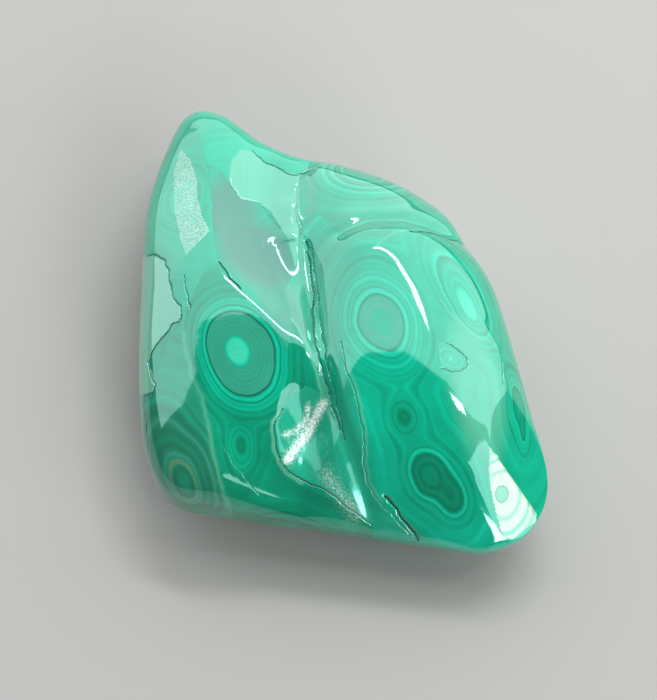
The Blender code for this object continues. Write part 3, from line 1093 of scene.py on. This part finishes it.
def malachiteMaterial():
    material = bpy.data.materials.new("bandedMalachite")
    material.use_nodes = True
    tree = material.node_tree
    surface = tree.nodes["Principled BSDF"]
    coordinates = addNode(tree, "ShaderNodeTexCoord").outputs["Object"]
    scaled = addNode(tree, "ShaderNodeVectorMath", {"operation": "SCALE"}, _0=coordinates, Scale=1 / mm)
    places = scaled.outputs[0]

    growth = attribute(tree, "growth")
    for span, reach, detail in ((9.0, 1.2, 1.0), (2.2, 0.28, 2.0)):
        swing = calculate(tree, "SUBTRACT", spaceNoise(tree, places, span, detail), 0.5)
        growth = calculate(tree, "MULTIPLY_ADD", swing, reach, growth)

    tone = 0.5
    for span, strength, detail, seed in ((7.0, 1.0, 1.0, 2.3), (2.2, 0.95, 1.0, 17.1), (0.7, 0.4, 1.5, 41.7)):
        swing = calculate(tree, "SUBTRACT", bandNoise(tree, growth, span, detail, seed), 0.5)
        tone = calculate(tree, "MULTIPLY_ADD", swing, strength * stoneFinish["bandStrength"], tone)
    swing = calculate(tree, "SUBTRACT", tone, 0.55)
    clear = calculate(tree, "MULTIPLY_ADD", spaceNoise(tree, places, 11.0, 1.0), 2.4, -0.45)
    clear = calculate(tree, "MINIMUM", calculate(tree, "MAXIMUM", clear, 0.45), 1.25)
    clear = calculate(tree, "MULTIPLY", clear, attribute(tree, "bands"))
    tone = calculate(tree, "MULTIPLY_ADD", swing, clear, 0.52)
    # the tone attribute also carries the painted light of the lower right
    tone = calculate(tree, "ADD", tone, attribute(tree, "tone"), clamp=True)
    colour = ramp(tree, tone, bandTones)

    ring = attribute(tree, "ring")
    swing = calculate(tree, "SUBTRACT", spaceNoise(tree, places, 3.5, 2.0), 0.5)
    ring = calculate(tree, "MULTIPLY_ADD", swing, stoneFinish["ringWander"], ring)
    inside = calculate(tree, "SUBTRACT", 1.0, calculate(tree, "SMOOTH_MIN", ring, 1.0, 0.01))
    inside = calculate(tree, "MULTIPLY", inside, 9.0, clamp=True)
    for style, tones in ringTones.items():
        mask = calculate(tree, "MULTIPLY", inside, attribute(tree, style.replace(" ", "_")))
        colour = blend(tree, mask, colour, ramp(tree, ring, tones))

    lamina, mottle = stoneFinish["lamina"], stoneFinish["mottle"]
    swing = calculate(tree, "SUBTRACT", bandNoise(tree, growth, lamina["span"], 1.0, 71.3), 0.5)
    swing = calculate(tree, "MULTIPLY_ADD", swing, lamina["strength"], 1.0)
    colour = blend(tree, 1.0, colour, swing, "MULTIPLY")
    cloudy = spaceNoise(tree, places, mottle["span"], 4.0, 0.6)
    cloudy = calculate(tree, "MULTIPLY_ADD", cloudy, mottle["strength"], 1 - mottle["strength"] / 2)
    colour = blend(tree, 1.0, colour, cloudy, "MULTIPLY")
    colour = blend(tree, attribute(tree, "grey"), colour, shade(*colours["haze"]))
    # pale also carries painted light: the flank's painted reflection, the tip facet's painted highlight and
    # the frosted patch's painted sparkle
    colour = blend(tree, attribute(tree, "pale"), colour, shade(*colours["pale"]))
    # frost roughens the surface, and where it is strong it paints white specks: a painted sparkle
    frostAndSparkle = attribute(tree, "frostAndSparkle")
    paintedSparkle = calculate(tree, "MULTIPLY_ADD", spaceNoise(tree, places, 0.22, 1.0), 6.0, -2.8, clamp=True)
    paintedSparkle = calculate(tree, "MULTIPLY", paintedSparkle, calculate(tree, "MULTIPLY_ADD", frostAndSparkle, 1.3, -0.6, clamp=True))
    colour = blend(tree, paintedSparkle, colour, shade(*colours["frostAndSparkle"]))
    # painted highlight: the dent's white streaks, broken up by fine noise
    paintedHighlight = attribute(tree, "paintedHighlight")
    highlightShare = calculate(tree, "MULTIPLY_ADD", spaceNoise(tree, places, 0.45, 3.0, 0.7), 3.4, -1.75)
    highlightShare = calculate(tree, "ADD", highlightShare, paintedHighlight, clamp=True)
    highlightShare = calculate(tree, "MULTIPLY", highlightShare, calculate(tree, "MULTIPLY", paintedHighlight, 1.6, clamp=True))
    colour = blend(tree, highlightShare, colour, shade(*colours["paintedStreak"]))
    colour = blend(tree, attribute(tree, "vein"), colour, shade(*colours["vein"]))
    crack = attribute(tree, "crack")
    colour = blend(tree, crack, colour, shade(*colours["crack"]))
    tree.links.new(colour, surface.inputs["Base Color"])

    smudge = spaceNoise(tree, places, 14.0, 5.0, 0.65)
    least = stoneFinish["roughness"] - 0.02
    roughness = calculate(tree, "MULTIPLY_ADD", smudge, stoneFinish["smudge"], least)
    roughness = calculate(tree, "MULTIPLY_ADD", crack, 0.55, roughness)
    roughness = calculate(tree, "MULTIPLY_ADD", frostAndSparkle, stoneFinish["frostRoughness"], roughness)
    tree.links.new(roughness, surface.inputs["Roughness"])
    surface.inputs["IOR"].default_value = stoneFinish["refraction"]
    surface.inputs["Specular Tint"].default_value = shade(*stoneFinish["sheen"])
    surface.inputs["Metallic"].default_value = 0.0
    wax = calculate(tree, "MULTIPLY_ADD", frostAndSparkle, -2.2, stoneFinish["wax"], clamp=True)
    tree.links.new(wax, surface.inputs["Coat Weight"])
    surface.inputs["Coat Roughness"].default_value = stoneFinish["waxRoughness"]

    polish = spaceNoise(tree, places, 0.9, 3.0, 0.6)
    bump = addNode(tree, "ShaderNodeBump", None, Strength=0.25, Distance=0.02 * mm, Height=polish)
    tree.links.new(bump.outputs["Normal"], surface.inputs["Normal"])
    return material


stone = makeStone()
stone.data.materials.append(malachiteMaterial())
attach(stone, "root")
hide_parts("malachite_stone")
print("stone made")


# floor and light

studio = {
    "floor": (166, 166, 164),
    "room": 0.1,
    "panels": {
        "far window": {"at": (0.0, 0.917, 0.735), "aim": (0, 0.257, 0), "size": (6.4, 1.84), "power": 63},
        "lamp": {"at": (0.26, 0.66, 1.1), "aim": (0, 0, 0), "size": (0.85, 0.14), "power": 7.5},
        "tip lamp": {"at": (0.94, -0.63, 0.63), "aim": (0, 0, 0), "size": (1.0, 1.0), "power": 8},
        "small lamp": {"at": (0.66, 0.11, 1.12), "aim": (0, 0, 0), "size": (0.1, 0.24), "power": 1.2},
        "front lamp": {"at": (0.6, -1.25, 0.55), "aim": (0, 0, 0), "size": (0.4, 0.4), "power": 7},
    },
}


def makeFloor():
    data = bpy.data.meshes.new("paleFloor")
    shape = bmesh.new()
    bmesh.ops.create_grid(shape, x_segments=1, y_segments=1, size=3.0)
    shape.to_mesh(data)
    shape.free()
    floor = bpy.data.objects.new("paleFloor", data)
    scene.collection.objects.link(floor)
    material = bpy.data.materials.new("paleFloor")
    material.use_nodes = True
    surface = material.node_tree.nodes["Principled BSDF"]
    surface.inputs["Base Color"].default_value = shade(*studio["floor"])
    surface.inputs["Roughness"].default_value = 0.8
    data.materials.append(material)


def makeLights():
    for name, panel in studio["panels"].items():
        data = bpy.data.lights.new(name, "AREA")
        data.shape = "RECTANGLE"
        data.size, data.size_y = panel["size"]
        data.energy = panel["power"]
        light = bpy.data.objects.new(name, data)
        light.location = panel["at"]
        aimed = Vector(panel["aim"]) - Vector(panel["at"])
        light.rotation_euler = aimed.to_track_quat("-Z", "Y").to_euler()
        scene.collection.objects.link(light)
    world = bpy.data.worlds.new("room")
    world.use_nodes = True
    world.node_tree.nodes["Background"].inputs["Color"].default_value = (1, 1, 1, 1)
    world.node_tree.nodes["Background"].inputs["Strength"].default_value = studio["room"]
    scene.world = world


makeFloor()
makeLights()
scene.view_settings.view_transform = "Standard"
print("floor and light set")
